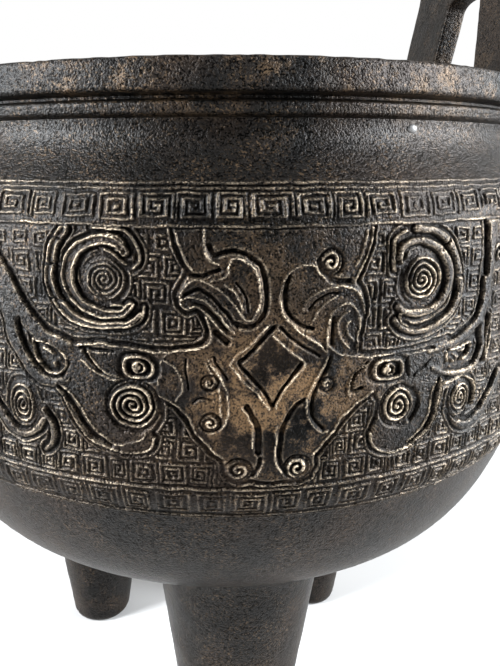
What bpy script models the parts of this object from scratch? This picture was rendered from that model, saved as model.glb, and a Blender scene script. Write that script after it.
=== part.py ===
"""Bronze ding vessel: a round bowl on three legs with two upright loop handles, cast in one piece.

Metres, +Z up. The floor is z = 0, the bowl's axis is the Z axis and the front leg stands at -Y.
"""

from math import cos, hypot, pi, sin

import bmesh
import bpy
from mathutils import Matrix, Vector
from mathutils.geometry import delaunay_2d_cdt, interpolate_bezier

# Heights, stacked from the floor to the rim
bowl_clearance = 0.0810
lower_bowl_height = 0.0475
lower_row_height = 0.0094
field_height = 0.0550
upper_row_height = 0.0096
neck_height = 0.0126
collar_height = 0.0032
groove_height = 0.0012
lip_height = 0.0071

# Radii of the outer side
band_bottom_radius = 0.1032
field_bottom_radius = 0.1066
belly_radius = 0.1070
field_top_radius = 0.1062
band_top_radius = 0.1032
neck_radius = 0.0960
collar_radius = 0.0985
groove_radius = 0.0972
rim_radius = 0.1000

# Walls and edges
wall = 0.0040
rim_width = 0.0140
edge_bevel = 0.0006

# Bend of the lower bowl: how far its curve runs down from the band and out from the centre
bowl_shoulder_drop = 0.0380
bowl_shoulder_inset = 0.0107
bowl_floor_reach = 0.0750

# Legs
leg_count = 3
leg_circle_radius = 0.0569
leg_foot_radius = 0.01245
leg_taper = 0.1425
foot_edge = 0.0025

# Handles
handle_circle_radius = 0.0892
handle_foot_width = 0.0890
handle_post_width = 0.0272
handle_thickness = 0.0074
handle_height = 0.0585
handle_shoulder_height = 0.0420
hole_spring_height = 0.0325
hole_crown_rise = 0.0045
handle_side_slope = 0.155
hole_side_slope = 0.190
handle_lean = 0.116
handle_crown_squareness = 2.5
hole_crown_squareness = 2.8
handle_root = 0.0040
handle_edge = 0.0008

# Relief
relief_height = 0.0014
relief_slope = 0.0007
border_half_width = 0.0011
border_height = 0.0007

# Fineness of the facets
segments_per_face = 18
inner_wall_rows = 3
grid_rows = 4
lower_bowl_rows = 6
leg_segments = 16
crown_steps = 9
knob_sides = 8

faces = 3
segments = faces * segments_per_face
band_bottom = bowl_clearance + lower_bowl_height
field_bottom = band_bottom + lower_row_height
field_top = field_bottom + field_height
band_top = field_top + upper_row_height
neck_top = band_top + neck_height
collar_top = neck_top + collar_height
groove_top = collar_top + groove_height
rim_top = groove_top + lip_height

# The mask is drawn on a sheet, half of it from the centre line outwards, which is stretched over the field.
# A stroke is a smooth line through its points, with its width at the start, the middle and the end.
seam_margin = 2.4
sheet_height = 55.0
middle_strokes = {
    "forehead": ([(-17.0, 52.0), (0.0, 52.0), (17.0, 52.0)], (4.6, 4.6, 4.6)),
    "nose_root": ([(0.0, 49.4), (0.0, 43.0), (0.0, 36.6)], (2.8, 2.0, 2.8)),
    "nose_bridge": ([(0.0, 15.8), (0.0, 8.0), (0.0, 1.6)], (2.2, 2.8, 4.2)),
}
half_strokes = {
    "forehead_side": ([(18.0, 53.4), (15.8, 46.8)], (3.2, 3.2, 2.6)),
    "brow": ([(8.8, 47.0), (5.0, 45.6), (4.0, 41.8), (4.8, 38.0), (7.4, 34.4)], (3.6, 4.4, 2.0)),
    "slanting_leaf": ([(19.4, 40.0), (16.8, 43.0), (12.8, 42.0), (10.4, 38.4), (9.6, 33.8)], (3.0, 3.8, 2.2)),
    "horn": (
        [(28.4, 51.8), (34.5, 52.0), (40.2, 48.8), (41.4, 44.0), (38.8, 38.8), (33.5, 36.2), (28.0, 37.0)],
        (2.6, 3.2, 2.8),
    ),
    "horn_scales": ([(41.0, 53.2), (45.2, 50.2), (46.9, 45.2), (45.8, 39.0), (42.0, 34.2)], (2.6, 3.4, 2.6)),
    "body": (
        [(35.6, 24.4), (42.4, 29.6), (49.4, 32.4), (55.0, 37.6), (57.4, 45.4), (56.8, 53.0)],
        (6.0, 5.4, 3.8),
    ),
    "body_branch": ([(40.2, 21.0), (46.4, 20.4), (53.2, 22.4), (59.4, 28.0)], (4.0, 3.4, 2.4)),
    "jaw": (
        [(37.6, 21.4), (37.2, 16.2), (34.6, 11.2), (29.6, 8.2), (24.4, 8.8), (22.0, 12.2)],
        (5.2, 4.8, 2.4),
    ),
    "snout_wing": ([(20.6, 21.0), (14.8, 15.6), (9.2, 10.4), (5.8, 6.0)], (2.6, 5.6, 6.4)),
    "cheek_line": ([(12.8, 30.0), (11.4, 24.0), (10.2, 18.8)], (2.2, 2.6, 2.0)),
    "claw": ([(57.0, 19.6), (59.6, 14.0), (56.0, 8.2), (50.4, 6.6), (46.0, 9.8)], (2.8, 3.8, 2.4)),
    "tail": (
        [(62.6, 46.0), (64.6, 36.0), (71.4, 28.4), (81.0, 27.0), (89.2, 33.4), (90.0, 42.6), (82.6, 47.6)],
        (3.4, 5.4, 3.0),
    ),
    "tail_foot": ([(66.0, 19.0), (71.0, 10.6), (80.0, 8.4), (88.4, 12.6), (93.0, 21.0)], (3.0, 4.6, 2.6)),
    "tail_plume": ([(98.2, 50.0), (101.0, 36.0), (97.4, 24.0)], (2.8, 4.0, 2.4)),
    "seam_leaf": ([(107.4, 47.0), (106.4, 29.0), (107.4, 11.0)], (2.4, 3.8, 2.4)),
}
# Raised knobs on the same sheet: middle, half length, half height and turn in radians
middle_knobs = {"diamond": (0.0, 26.2, 8.0, 8.8, 0.0)}
half_knobs = {
    "eye": (26.5, 26.2, 3.8, 2.7, 0.0),
    "inner_eye_leaf": (19.6, 26.6, 2.4, 2.2, 0.7),
    "horn_spiral": (33.3, 44.2, 4.4, 4.6, 0.0),
    "cheek_spiral": (28.6, 17.0, 4.3, 4.1, 0.0),
    "ear_spiral": (15.4, 34.0, 3.0, 2.8, 0.0),
    "snout_curl": (13.2, 4.4, 2.3, 2.1, 0.0),
    "body_drop": (47.0, 26.2, 3.0, 1.4, 0.35),
    "claw_spiral": (52.2, 14.0, 3.0, 3.0, 0.0),
    "tail_spiral": (80.4, 37.6, 4.4, 4.4, 0.0),
}
# The sheet ends a margin beyond the outermost stroke, so that no stroke crosses the seam between two faces
half_sheet_width = seam_margin + max(
    point[0] + max(widths) / 2 for points, widths in half_strokes.values() for point in points
)


def clear_scene():
    """Remove every object of the open scene."""
    for item in list(bpy.data.objects):
        bpy.data.objects.remove(item, do_unlink=True)


def bronze():
    """Dark brown cast bronze."""
    material = bpy.data.materials.new("dark_bronze")
    material.use_nodes = True
    shader = material.node_tree.nodes["Principled BSDF"]
    shader.inputs["Base Color"].default_value = (0.075, 0.062, 0.052, 1.0)
    shader.inputs["Metallic"].default_value = 0.75
    shader.inputs["Roughness"].default_value = 0.48
    return material


def smooth_line(points, steps):
    """Return a smooth line through the points, with so many steps from one point to the next."""
    line = []
    for i in range(len(points) - 1):
        here = Vector(points[i])
        there = Vector(points[i + 1])
        before = Vector(points[i - 1]) if i > 0 else here * 2 - there
        after = Vector(points[i + 2]) if i + 2 < len(points) else there * 2 - here
        for k in range(steps):
            t = k / steps
            line.append(
                here
                + (there - before) * (t / 2)
                + (before * 2 - here * 5 + there * 4 - after) * (t * t / 2)
                + (here * 3 - before - there * 3 + after) * (t * t * t / 2)
            )
    line.append(Vector(points[-1]))
    return line


# Outer side of the wall behind the relief, as radius and height
wall_line = smooth_line(
    [
        (band_bottom_radius, band_bottom),
        (field_bottom_radius, field_bottom),
        (belly_radius, field_bottom + field_height / 2),
        (field_top_radius, field_top),
        (band_top_radius, band_top),
    ],
    8,
)


def wall_radius(height):
    """Radius of the band's ground at a height."""
    for low, high in zip(wall_line, wall_line[1:]):
        if height <= high.y:
            share = (height - low.y) / (high.y - low.y)
            return low.x + share * (high.x - low.x)
    return wall_line[-1].x


def lower_bowl_line(steps):
    """Outer side of the bowl from the middle of its underside up to the band."""
    return [
        Vector((p[0], p[1]))
        for p in interpolate_bezier(
            (0.0, bowl_clearance),
            (bowl_floor_reach, bowl_clearance),
            (band_bottom_radius - bowl_shoulder_inset, band_bottom - bowl_shoulder_drop),
            (band_bottom_radius, band_bottom),
            steps + 1,
        )
    ]


def underside_height(radius):
    """Height of the bowl's underside at a radius."""
    line = lower_bowl_line(40)
    for inner, outer in zip(line, line[1:]):
        if radius <= outer.x:
            share = (radius - inner.x) / (outer.x - inner.x)
            return inner.y + share * (outer.y - inner.y)
    return band_bottom


def moved_inward(line, distance):
    """Move a line of radius and height to its left, which is the bowl's inside."""
    moved = []
    for i, point in enumerate(line):
        along = line[min(i + 1, len(line) - 1)] - line[max(i - 1, 0)]
        if i == 0:
            along = Vector((1.0, 0.0))
        along.normalize()
        moved.append(point + Vector((-along.y, along.x)) * distance)
    return moved


def stroke_half_width(widths, share):
    """Half the width of a stroke at a share of its length."""
    start, middle, end = widths
    if share < 0.5:
        return (start + (middle - start) * share * 2) / 2
    return (middle + (end - middle) * (share * 2 - 1)) / 2


def stroke_loop(stroke, inset):
    """Outline of a stroke on the sheet, pulled in by an inset, as one closed loop."""
    points, widths = stroke
    line = [Vector(point) for point in points]
    last = len(line) - 1
    left, right = [], []
    for i, point in enumerate(line):
        along = (line[min(i + 1, last)] - line[max(i - 1, 0)]).normalized()
        across = Vector((-along.y, along.x))
        reach = stroke_half_width(widths, i / last) - inset
        foot = point + along * {0: inset, last: -inset}.get(i, 0.0)
        left.append(foot + across * reach)
        right.append(foot - across * reach)
    return left + right[::-1]


def knob_loop(knob, inset):
    """Outline of a round knob on the sheet, or of the diamond, pulled in by an inset."""
    middle_x, middle_y, half_length, half_height, turn = knob
    sides = 4 if knob in middle_knobs.values() else knob_sides
    loop = []
    for k in range(sides):
        angle = 2 * pi * k / sides
        spot = Vector(((half_length - inset) * cos(angle), (half_height - inset) * sin(angle)))
        spot.rotate(Matrix.Rotation(turn, 2))
        loop.append(Vector((middle_x, middle_y)) + spot)
    return loop


def relief_forms():
    """Every relief form of one face as its foot loop and its crest loop on the sheet."""
    slope = relief_slope / field_height * sheet_height
    middle = [(stroke_loop, form) for form in middle_strokes.values()]
    middle += [(knob_loop, form) for form in middle_knobs.values()]
    sides = [(stroke_loop, form) for form in half_strokes.values()]
    sides += [(knob_loop, form) for form in half_knobs.values()]
    pairs = [(loop(form, 0.0), loop(form, slope)) for loop, form in middle]
    for loop, form in sides:
        pair = (loop(form, 0.0), loop(form, slope))
        pairs.append(pair)
        pairs.append(tuple([Vector((-p.x, p.y)) for p in side] for side in pair))
    return pairs


def edge_distance(point, loop):
    """Distance from a point to the nearest edge of a loop."""
    nearest = half_sheet_width
    for i, start in enumerate(loop):
        edge = loop[(i + 1) % len(loop)] - start
        share = min(max((point - start).dot(edge) / edge.length_squared, 0.0), 1.0)
        nearest = min(nearest, (point - start - edge * share).length)
    return nearest


def inside(point, loop):
    """Whether a loop winds round a point."""
    winding = 0
    for i, start in enumerate(loop):
        end = loop[(i + 1) % len(loop)]
        side = (end - start).cross(point - start)
        if start.y <= point.y < end.y and side > 0:
            winding += 1
        if end.y <= point.y < start.y and side < 0:
            winding -= 1
    return winding != 0


def form_height(point, pair):
    """Share of the full relief height that one form gives to a point of the sheet."""
    foot, crest = pair
    to_crest = edge_distance(point, crest)
    if to_crest < 0.01 or inside(point, crest):
        return 1.0
    if not inside(point, foot):
        return 0.0
    to_foot = edge_distance(point, foot)
    return to_foot / (to_foot + to_crest)


def border_lines():
    """Heights of the raised lines along the band's two edges: foot, crest and foot of each."""
    middles = [band_bottom + border_half_width, band_top - border_half_width]
    return [(middle - border_half_width, middle, middle + border_half_width) for middle in middles]


def face_panel():
    """One face of the band as flat triangles of the sheet, with a height for each of their corners.

    Returns the corners as (share of the face's width from its middle, height above the floor, relief) and
    the triangles as triples of corner indices.
    """
    scale_up = field_height / sheet_height
    pairs = relief_forms()
    bounds = []
    for foot, crest in pairs:
        xs = [p.x for p in foot]
        ys = [p.y for p in foot]
        bounds.append((min(xs), max(xs), min(ys), max(ys)))
    points, edges = [], []

    def add_line(line, closed):
        first = len(points)
        points.extend(line)
        count = len(line)
        edges.extend((first + i, first + (i + 1) % count) for i in range(count if closed else count - 1))

    columns = [half_sheet_width * (2 * i / segments_per_face - 1) for i in range(segments_per_face + 1)]
    ridge_of = {}
    for low, crest, high in border_lines():
        for height, relief in ((low, 0.0), (crest, border_height), (high, 0.0)):
            y = (height - field_bottom) / scale_up
            ridge_of[round(y, 4)] = relief
            add_line([Vector((x, y)) for x in columns], False)
    low_y, high_y = min(ridge_of), max(ridge_of)
    for x in (-half_sheet_width, half_sheet_width):
        add_line([Vector((x, low_y)), Vector((x, high_y))], False)
    for foot, crest in pairs:
        add_line(foot, True)
        add_line(crest, True)
    for row in range(1, grid_rows):
        for i, x in enumerate(columns):
            point = Vector((x, sheet_height * row / grid_rows))
            on_seam = i in (0, segments_per_face)
            if on_seam or not near_a_form(point, pairs, bounds):
                points.append(point)

    corners, _, triangles, *_ = delaunay_2d_cdt(points, edges, [], 0, 0.05, False)
    placed = []
    for corner in corners:
        share = 0.0
        for pair, (x0, x1, y0, y1) in zip(pairs, bounds):
            if x0 <= corner.x <= x1 and y0 <= corner.y <= y1:
                share = max(share, form_height(corner, pair))
        relief = share * relief_height + ridge_of.get(round(corner.y, 4), 0.0)
        placed.append((corner.x / half_sheet_width / 2, field_bottom + corner.y * scale_up, relief))
    return placed, triangles


def near_a_form(point, pairs, bounds):
    """Whether a grid point of the sheet is too near a relief form's outline to add a useful corner."""
    clearance = 1.6
    for (foot, _), (x0, x1, y0, y1) in zip(pairs, bounds):
        close = x0 - clearance < point.x < x1 + clearance and y0 - clearance < point.y < y1 + clearance
        if close and (inside(point, foot) or edge_distance(point, foot) < clearance):
            return True
    return False


def rim_line():
    """Outer side from the neck's foot over the lip to the inner edge of the rim, as radius and height."""
    neck = smooth_line(
        [
            (band_top_radius, band_top),
            ((band_top_radius + neck_radius * 2) / 3 - edge_bevel, band_top + neck_height * 0.36),
            (neck_radius, band_top + neck_height * 0.78),
            (neck_radius + edge_bevel / 2, neck_top),
        ],
        1,
    )[1:]
    inner_radius = rim_radius - rim_width
    lip = [
        (collar_radius, neck_top + edge_bevel / 2),
        (collar_radius, collar_top),
        (groove_radius, collar_top + edge_bevel / 4),
        (groove_radius, groove_top),
        (rim_radius, groove_top + edge_bevel / 2),
        (rim_radius, rim_top - edge_bevel),
        (rim_radius - edge_bevel, rim_top),
        (inner_radius + edge_bevel, rim_top),
        (inner_radius, rim_top - edge_bevel),
        (inner_radius, groove_top),
    ]
    return neck + [Vector(point) for point in lip]


def inner_line():
    """Inner side from under the rim down to the middle of the bowl's floor, as radius and height."""
    band = [Vector((wall_radius(height), height)) for height in band_row_heights()]
    outer = lower_bowl_line(lower_bowl_rows)[:-1] + band
    inner = moved_inward(outer, wall)[:-1]
    neck_inner = neck_radius - wall
    return [Vector((neck_inner, band_top + neck_height * 0.55))] + inner[::-1]


def band_row_heights():
    """Heights of the inner wall's rows behind the band."""
    return [band_bottom + (band_top - band_bottom) * i / inner_wall_rows for i in range(inner_wall_rows + 1)]


def ring(mesh, point):
    """Corners of a ring of the bowl, or the single corner on its axis."""
    if point.x < 1e-6:
        return [mesh.verts.new((0.0, 0.0, point.y))]
    turns = [2 * pi * i / segments for i in range(segments)]
    return [mesh.verts.new((point.x * sin(a), -point.x * cos(a), point.y)) for a in turns]


def bridge(mesh, low, high):
    """Faces between two rings, the second above the first on the outer side."""
    for i in range(segments):
        j = (i + 1) % segments
        if len(low) == 1:
            mesh.faces.new((low[0], high[j], high[i]))
        elif len(high) == 1:
            mesh.faces.new((low[i], low[j], high[0]))
        else:
            mesh.faces.new((low[i], low[j], high[j], high[i]))


def add_band(mesh):
    """The relief band, its face repeated round the bowl."""
    corners, triangles = face_panel()
    face_angle = 2 * pi / faces
    for face in range(faces):
        made = []
        for share, height, relief in corners:
            angle = (face + share) * face_angle
            radius = wall_radius(height) + relief
            made.append(mesh.verts.new((radius * sin(angle), -radius * cos(angle), height)))
        for triangle in triangles:
            mesh.faces.new([made[i] for i in triangle])


def bowl_mesh():
    """The bowl as one closed skin: underside, relief band, neck, rim, inner wall and floor."""
    mesh = bmesh.new()
    underside = [ring(mesh, point) for point in lower_bowl_line(lower_bowl_rows)]
    foot_of_neck = Vector((wall_radius(band_top), band_top))
    upper = [ring(mesh, point) for point in [foot_of_neck] + rim_line() + inner_line()]
    for rings in (underside, upper):
        for low, high in zip(rings, rings[1:]):
            bridge(mesh, low, high)
    add_band(mesh)
    bmesh.ops.remove_doubles(mesh, verts=mesh.verts, dist=2e-6)
    bmesh.ops.recalc_face_normals(mesh, faces=mesh.faces)
    return mesh


def leg_mesh():
    """A tapered leg about its own axis; its top is seated in the middle of the bowl's wall."""
    mesh = bmesh.new()
    rows = [(leg_foot_radius - foot_edge, 0.0)]
    rows += [(leg_foot_radius - foot_edge * 0.3, foot_edge * 0.3), (leg_foot_radius, foot_edge)]

    def seat(x, y):
        return underside_height(hypot(x, y - leg_circle_radius)) + wall / 2

    def leg_ring(radius, height, share=1.0):
        made = []
        for i in range(leg_segments):
            angle = 2 * pi * i / leg_segments
            x, y = radius * share * sin(angle), -radius * share * cos(angle)
            made.append(mesh.verts.new((x, y, height if height is not None else seat(x, y))))
        return made

    top_radius = leg_foot_radius + leg_taper * bowl_clearance
    rings = [leg_ring(radius, height) for radius, height in rows]
    rings.append(leg_ring(top_radius, None))
    rings.append(leg_ring(top_radius, None, 0.5))
    for low, high in zip(rings, rings[1:]):
        for i in range(leg_segments):
            j = (i + 1) % leg_segments
            mesh.faces.new((low[i], low[j], high[j], high[i]))
    mesh.faces.new(rings[0][::-1])
    middle = mesh.verts.new((0.0, 0.0, seat(0.0, 0.0)))
    for i in range(leg_segments):
        mesh.faces.new((rings[-1][i], rings[-1][(i + 1) % leg_segments], middle))
    bmesh.ops.recalc_face_normals(mesh, faces=mesh.faces)
    return mesh


def arch(half_width, spring, top, squareness):
    """Points over an arch from its right spring to its left one."""
    points = []
    for i in range(crown_steps):
        angle = pi * i / (crown_steps - 1)
        x = abs(cos(angle)) ** (2 / squareness) * (1 if cos(angle) > 0 else -1)
        y = sin(angle) ** (2 / squareness)
        points.append((half_width * x, spring + (top - spring) * y))
    return points


def handle_outline(inset):
    """Outline of a handle's face, an arch with the rim side open, pulled in by an inset at every edge."""

    outer_half = handle_foot_width / 2 - inset
    inner_half = handle_foot_width / 2 - handle_post_width + inset
    shoulder = handle_shoulder_height
    spring = hole_spring_height
    half_shoulder = outer_half - handle_side_slope * shoulder
    outer = [(outer_half + handle_side_slope * handle_root, -handle_root)]
    outer += arch(half_shoulder, shoulder, handle_height - inset, handle_crown_squareness)
    outer.append((-outer[0][0], -handle_root))
    half_spring = inner_half - hole_side_slope * spring
    inner = [(inner_half + hole_side_slope * handle_root, -handle_root)]
    inner += arch(half_spring, spring, spring + hole_crown_rise + inset, hole_crown_squareness)
    inner.append((-inner[0][0], -handle_root))
    return outer + inner[::-1]


def handle_mesh():
    """A flat upright loop about its own foot, its faces square to X, with its edges taken off."""
    mesh = bmesh.new()
    half = handle_thickness / 2
    flat = half - handle_edge
    loops = []
    for x, inset in ((-half, handle_edge), (-flat, 0.0), (flat, 0.0), (half, handle_edge)):
        loops.append([mesh.verts.new((x, y, z)) for y, z in handle_outline(inset)])
    count = len(loops[0])
    for low, high in zip(loops, loops[1:]):
        for i in range(count):
            j = (i + 1) % count
            mesh.faces.new((low[i], low[j], high[j], high[i]))
    outer_count = count // 2
    for loop, order in ((loops[0], -1), (loops[-1], 1)):
        for i in range(outer_count - 1):
            k = count - 1 - i
            mesh.faces.new([loop[i], loop[i + 1], loop[k - 1], loop[k]][::order])
    bmesh.ops.recalc_face_normals(mesh, faces=mesh.faces)
    return mesh


def new_object(name, mesh, material):
    """Turn a bmesh into an object of the scene."""
    data = bpy.data.meshes.new(name)
    mesh.to_mesh(data)
    mesh.free()
    data.materials.append(material)
    item = bpy.data.objects.new(name, data)
    bpy.context.scene.collection.objects.link(item)
    return item


def cast_on(body, piece):
    """Make a piece one with the body."""
    piece.hide_render = True
    piece.display_type = "WIRE"
    union = body.modifiers.new(piece.name, "BOOLEAN")
    union.operation = "UNION"
    union.solver = "EXACT"
    union.object = piece


def build():
    """Build the vessel."""
    clear_scene()
    material = bronze()
    vessel = new_object("ding_vessel", bowl_mesh(), material)
    for i in range(leg_count):
        leg = new_object(f"leg_{i + 1}", leg_mesh(), material)
        turn = 2 * pi * i / leg_count
        leg.location = (leg_circle_radius * sin(turn), -leg_circle_radius * cos(turn), 0.0)
        leg.rotation_euler = (0.0, 0.0, turn)
        cast_on(vessel, leg)
    for side in (1, -1):
        handle = new_object(f"handle_{'right' if side > 0 else 'left'}", handle_mesh(), material)
        handle.location = (side * handle_circle_radius, 0.0, rim_top)
        handle.rotation_euler = (0.0, side * handle_lean, 0.0)
        cast_on(vessel, handle)
    vessel.data.shade_smooth()
    vessel.data.set_sharp_from_angle(angle=0.5)


build()
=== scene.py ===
from math import atan2, cos, pi, radians, sin

import bmesh
import bpy
import numpy as np
from mathutils import Matrix


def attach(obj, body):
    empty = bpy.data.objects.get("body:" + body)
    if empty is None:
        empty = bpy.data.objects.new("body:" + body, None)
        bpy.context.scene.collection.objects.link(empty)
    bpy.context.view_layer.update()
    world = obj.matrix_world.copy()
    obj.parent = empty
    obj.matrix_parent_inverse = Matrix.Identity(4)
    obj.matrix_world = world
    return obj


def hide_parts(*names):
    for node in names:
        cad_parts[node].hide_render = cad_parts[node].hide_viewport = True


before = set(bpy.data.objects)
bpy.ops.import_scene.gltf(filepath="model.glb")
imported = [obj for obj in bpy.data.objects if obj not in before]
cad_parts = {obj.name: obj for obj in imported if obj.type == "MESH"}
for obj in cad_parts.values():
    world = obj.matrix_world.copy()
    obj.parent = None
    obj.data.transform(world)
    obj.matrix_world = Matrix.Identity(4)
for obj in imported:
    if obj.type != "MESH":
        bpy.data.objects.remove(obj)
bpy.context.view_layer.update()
mm = 0.001

# Camera, light and floor
view = {
    "place": (-0.02801, -0.22003, 0.20726),
    "downwards": 0.206,  # radians below level
    "turn": -0.102,
    "roll": 0.0,
    "lens": 32.224,
    "sensor": 36.0,
    "shift": (0.0739, -0.0796),
}
print("camera")
cameraData = bpy.data.cameras.new("photoCamera")
cameraData.sensor_fit = "VERTICAL"
cameraData.sensor_height = view["sensor"]
cameraData.lens = view["lens"]
cameraData.shift_x, cameraData.shift_y = view["shift"]
cameraData.clip_start = 0.01
camera = bpy.data.objects.new("photoCamera", cameraData)
camera.location = view["place"]
camera.rotation_euler = (pi / 2 - view["downwards"], view["roll"], view["turn"])
bpy.context.scene.collection.objects.link(camera)
bpy.context.scene.camera = camera
bpy.context.scene.view_settings.view_transform = "Standard"

studio = {
    "skyBehind": (1.0, 1.0, 1.0),
    "skyInFront": (0.026, 0.028, 0.031),
    "skyTurns": (-0.55, 0.25),  # from the dark front to the white back, as the direction's Y
    "floorTone": (0.39, 0.378, 0.366),
    "floorRoughness": 0.8,
    "floorRadius": 12.0,
    "lamps": [
        # name, place, aimed at, width, height, watts, colour
        ("topBox", (-0.10, -0.45, 0.95), (0.0, 0.0, 0.2), 0.40, 0.20, 1.2, (1.0, 0.98, 0.95)),
        ("leftBox", (-0.82, -0.27, 0.46), (0.0, 0.0, 0.22), 0.25, 0.88, 54.0, (0.89, 0.945, 1.0)),
        ("rightBox", (0.82, -0.31, 0.43), (0.0, 0.0, 0.22), 0.25, 0.84, 49.0, (0.89, 0.945, 1.0)),
    ],
}


class Val:
    # A shader socket that takes part in sums
    def __init__(self, tree, socket):
        self.tree = tree
        self.socket = socket

    def math(self, operation, *others, clamp=False):
        node = self.tree.nodes.new("ShaderNodeMath")
        node.operation = operation
        node.use_clamp = clamp
        for slot, item in zip(node.inputs, others):
            if isinstance(item, Val):
                self.tree.links.new(item.socket, slot)
            else:
                slot.default_value = item
        return Val(self.tree, node.outputs[0])

    def __add__(self, other):
        return self.math("ADD", self, other)

    def __radd__(self, other):
        return self.math("ADD", other, self)

    def __sub__(self, other):
        return self.math("SUBTRACT", self, other)

    def __rsub__(self, other):
        return self.math("SUBTRACT", other, self)

    def __mul__(self, other):
        return self.math("MULTIPLY", self, other)

    def __rmul__(self, other):
        return self.math("MULTIPLY", other, self)

    def clamped(self):
        return self.math("ADD", self, 0.0, clamp=True)

    def atLeast(self, other):
        return self.math("MAXIMUM", self, other)

    def between(self, low, high):
        return ((self - low) * (1.0 / (high - low))).clamped()


class Shop:
    # Makes the nodes of one tree
    def __init__(self, tree):
        self.tree = tree

    def node(self, kind, settings=None, sockets=None):
        made = self.tree.nodes.new(kind)
        for name, setting in (settings or {}).items():
            setattr(made, name, setting)
        for name, item in (sockets or {}).items():
            if isinstance(item, Val):
                self.tree.links.new(item.socket, made.inputs[name])
            else:
                made.inputs[name].default_value = item
        return made

    def out(self, made, name=0):
        return Val(self.tree, made.outputs[name])

    def mixed(self, factor, low, high):
        low, high = ((*item, 1.0) if isinstance(item, tuple) else item for item in (low, high))
        made = self.node("ShaderNodeMix", {"data_type": "RGBA"}, {0: factor, 6: low, 7: high})
        return self.out(made, 2)


print("world, lamps and floor")
world = bpy.data.worlds.new("studio")
bpy.context.scene.world = world
world.use_nodes = True
shop = Shop(world.node_tree)
background = world.node_tree.nodes["Background"]
direction = shop.node("ShaderNodeTexCoord")
parts = shop.node("ShaderNodeSeparateXYZ", None, {"Vector": shop.out(direction, "Generated")})
behind = shop.out(parts, "Y").between(*studio["skyTurns"])
sky = shop.mixed(behind, studio["skyInFront"], studio["skyBehind"])
world.node_tree.links.new(sky.socket, background.inputs["Color"])
for name, place, aim, width, height, watts, colour in studio["lamps"]:
    lampData = bpy.data.lights.new(name, "AREA")
    lampData.shape = "RECTANGLE"
    lampData.size = width
    lampData.size_y = height
    lampData.energy = watts
    lampData.color = colour
    lamp = bpy.data.objects.new(name, lampData)
    lamp.location = place
    away = [p - a for p, a in zip(place, aim)]
    flat = (away[0] ** 2 + away[1] ** 2) ** 0.5
    lamp.rotation_euler = (atan2(flat, away[2]), 0.0, atan2(away[0], -away[1]))
    bpy.context.scene.collection.objects.link(lamp)


def meshData(name, mesh):
    data = bpy.data.meshes.new(name)
    mesh.to_mesh(data)
    mesh.free()
    return data


def newPiece(name, data, material, smooth=True):
    data.materials.append(material)
    if smooth:
        data.shade_smooth()
    piece = bpy.data.objects.new(name, data)
    bpy.context.scene.collection.objects.link(piece)
    return piece


def castPiece(name, data, material, creases=False):
    # Part of the one casting, shown in place of its node
    piece = newPiece(name, data, material)
    if creases:
        data.set_sharp_from_angle(angle=radians(50))
    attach(piece, "root")
    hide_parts("ding_vessel")


floorMaterial = bpy.data.materials.new("paleFloor")
floorMaterial.use_nodes = True
floorShader = floorMaterial.node_tree.nodes["Principled BSDF"]
floorShader.inputs["Base Color"].default_value = (*studio["floorTone"], 1.0)
floorShader.inputs["Roughness"].default_value = studio["floorRoughness"]
floorMesh = bmesh.new()
bmesh.ops.create_circle(floorMesh, cap_ends=True, segments=64, radius=studio["floorRadius"])
floor = newPiece("floor", meshData("floor", floorMesh), floorMaterial, smooth=False)

bronzeFinish = {
    "deep": (0.0022, 0.0020, 0.0018),
    "skin": (0.0075, 0.0058, 0.0045),
    "brown": (0.018, 0.0105, 0.0062),
    # tan crest colour: part wear, part painted highlight
    "tan": (0.55, 0.435, 0.31),
    "speck": (0.095, 0.060, 0.032),
    "rust": (0.058, 0.036, 0.019),
    "dust": (0.108, 0.064, 0.030),
    # painted shade colour for the pits and hollows
    "pitShade": (0.0012, 0.0011, 0.0010),
    "metallic": 0.5,
    "roughness": 0.37,
    "shine": 0.32,
    "tint": (0.74, 0.725, 0.71),
    "bumpDepth": 0.00036,
    "rimLumps": 1.2,
    # patterns: scale, detail, roughness
    "clouds": (28.0, 3.0, 0.55),
    "blotches": (110.0, 4.0, 0.6),
    "grains": (2300.0, 2.0, 0.5),
    "coarse": (950.0, 2.0, 0.5),
    "specks": (1700.0, 2.0, 0.5),
    "rimRust": (60.0, 6.0, 0.75),
    "rimDents": (330.0, 3.0, 0.6),
    "dustPatches": (85.0, 7.0, 0.75),
    # breaks up the tan crest colour, which is part wear and part painted highlight
    "tanBreakup": (420.0, 2.0, 0.5),
    # painted highlight: the bead's light grey stands in for its bright glint
    "beadHighlightGrey": (0.16, 0.155, 0.15),
    "beadRoughness": 0.35,
}


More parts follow.
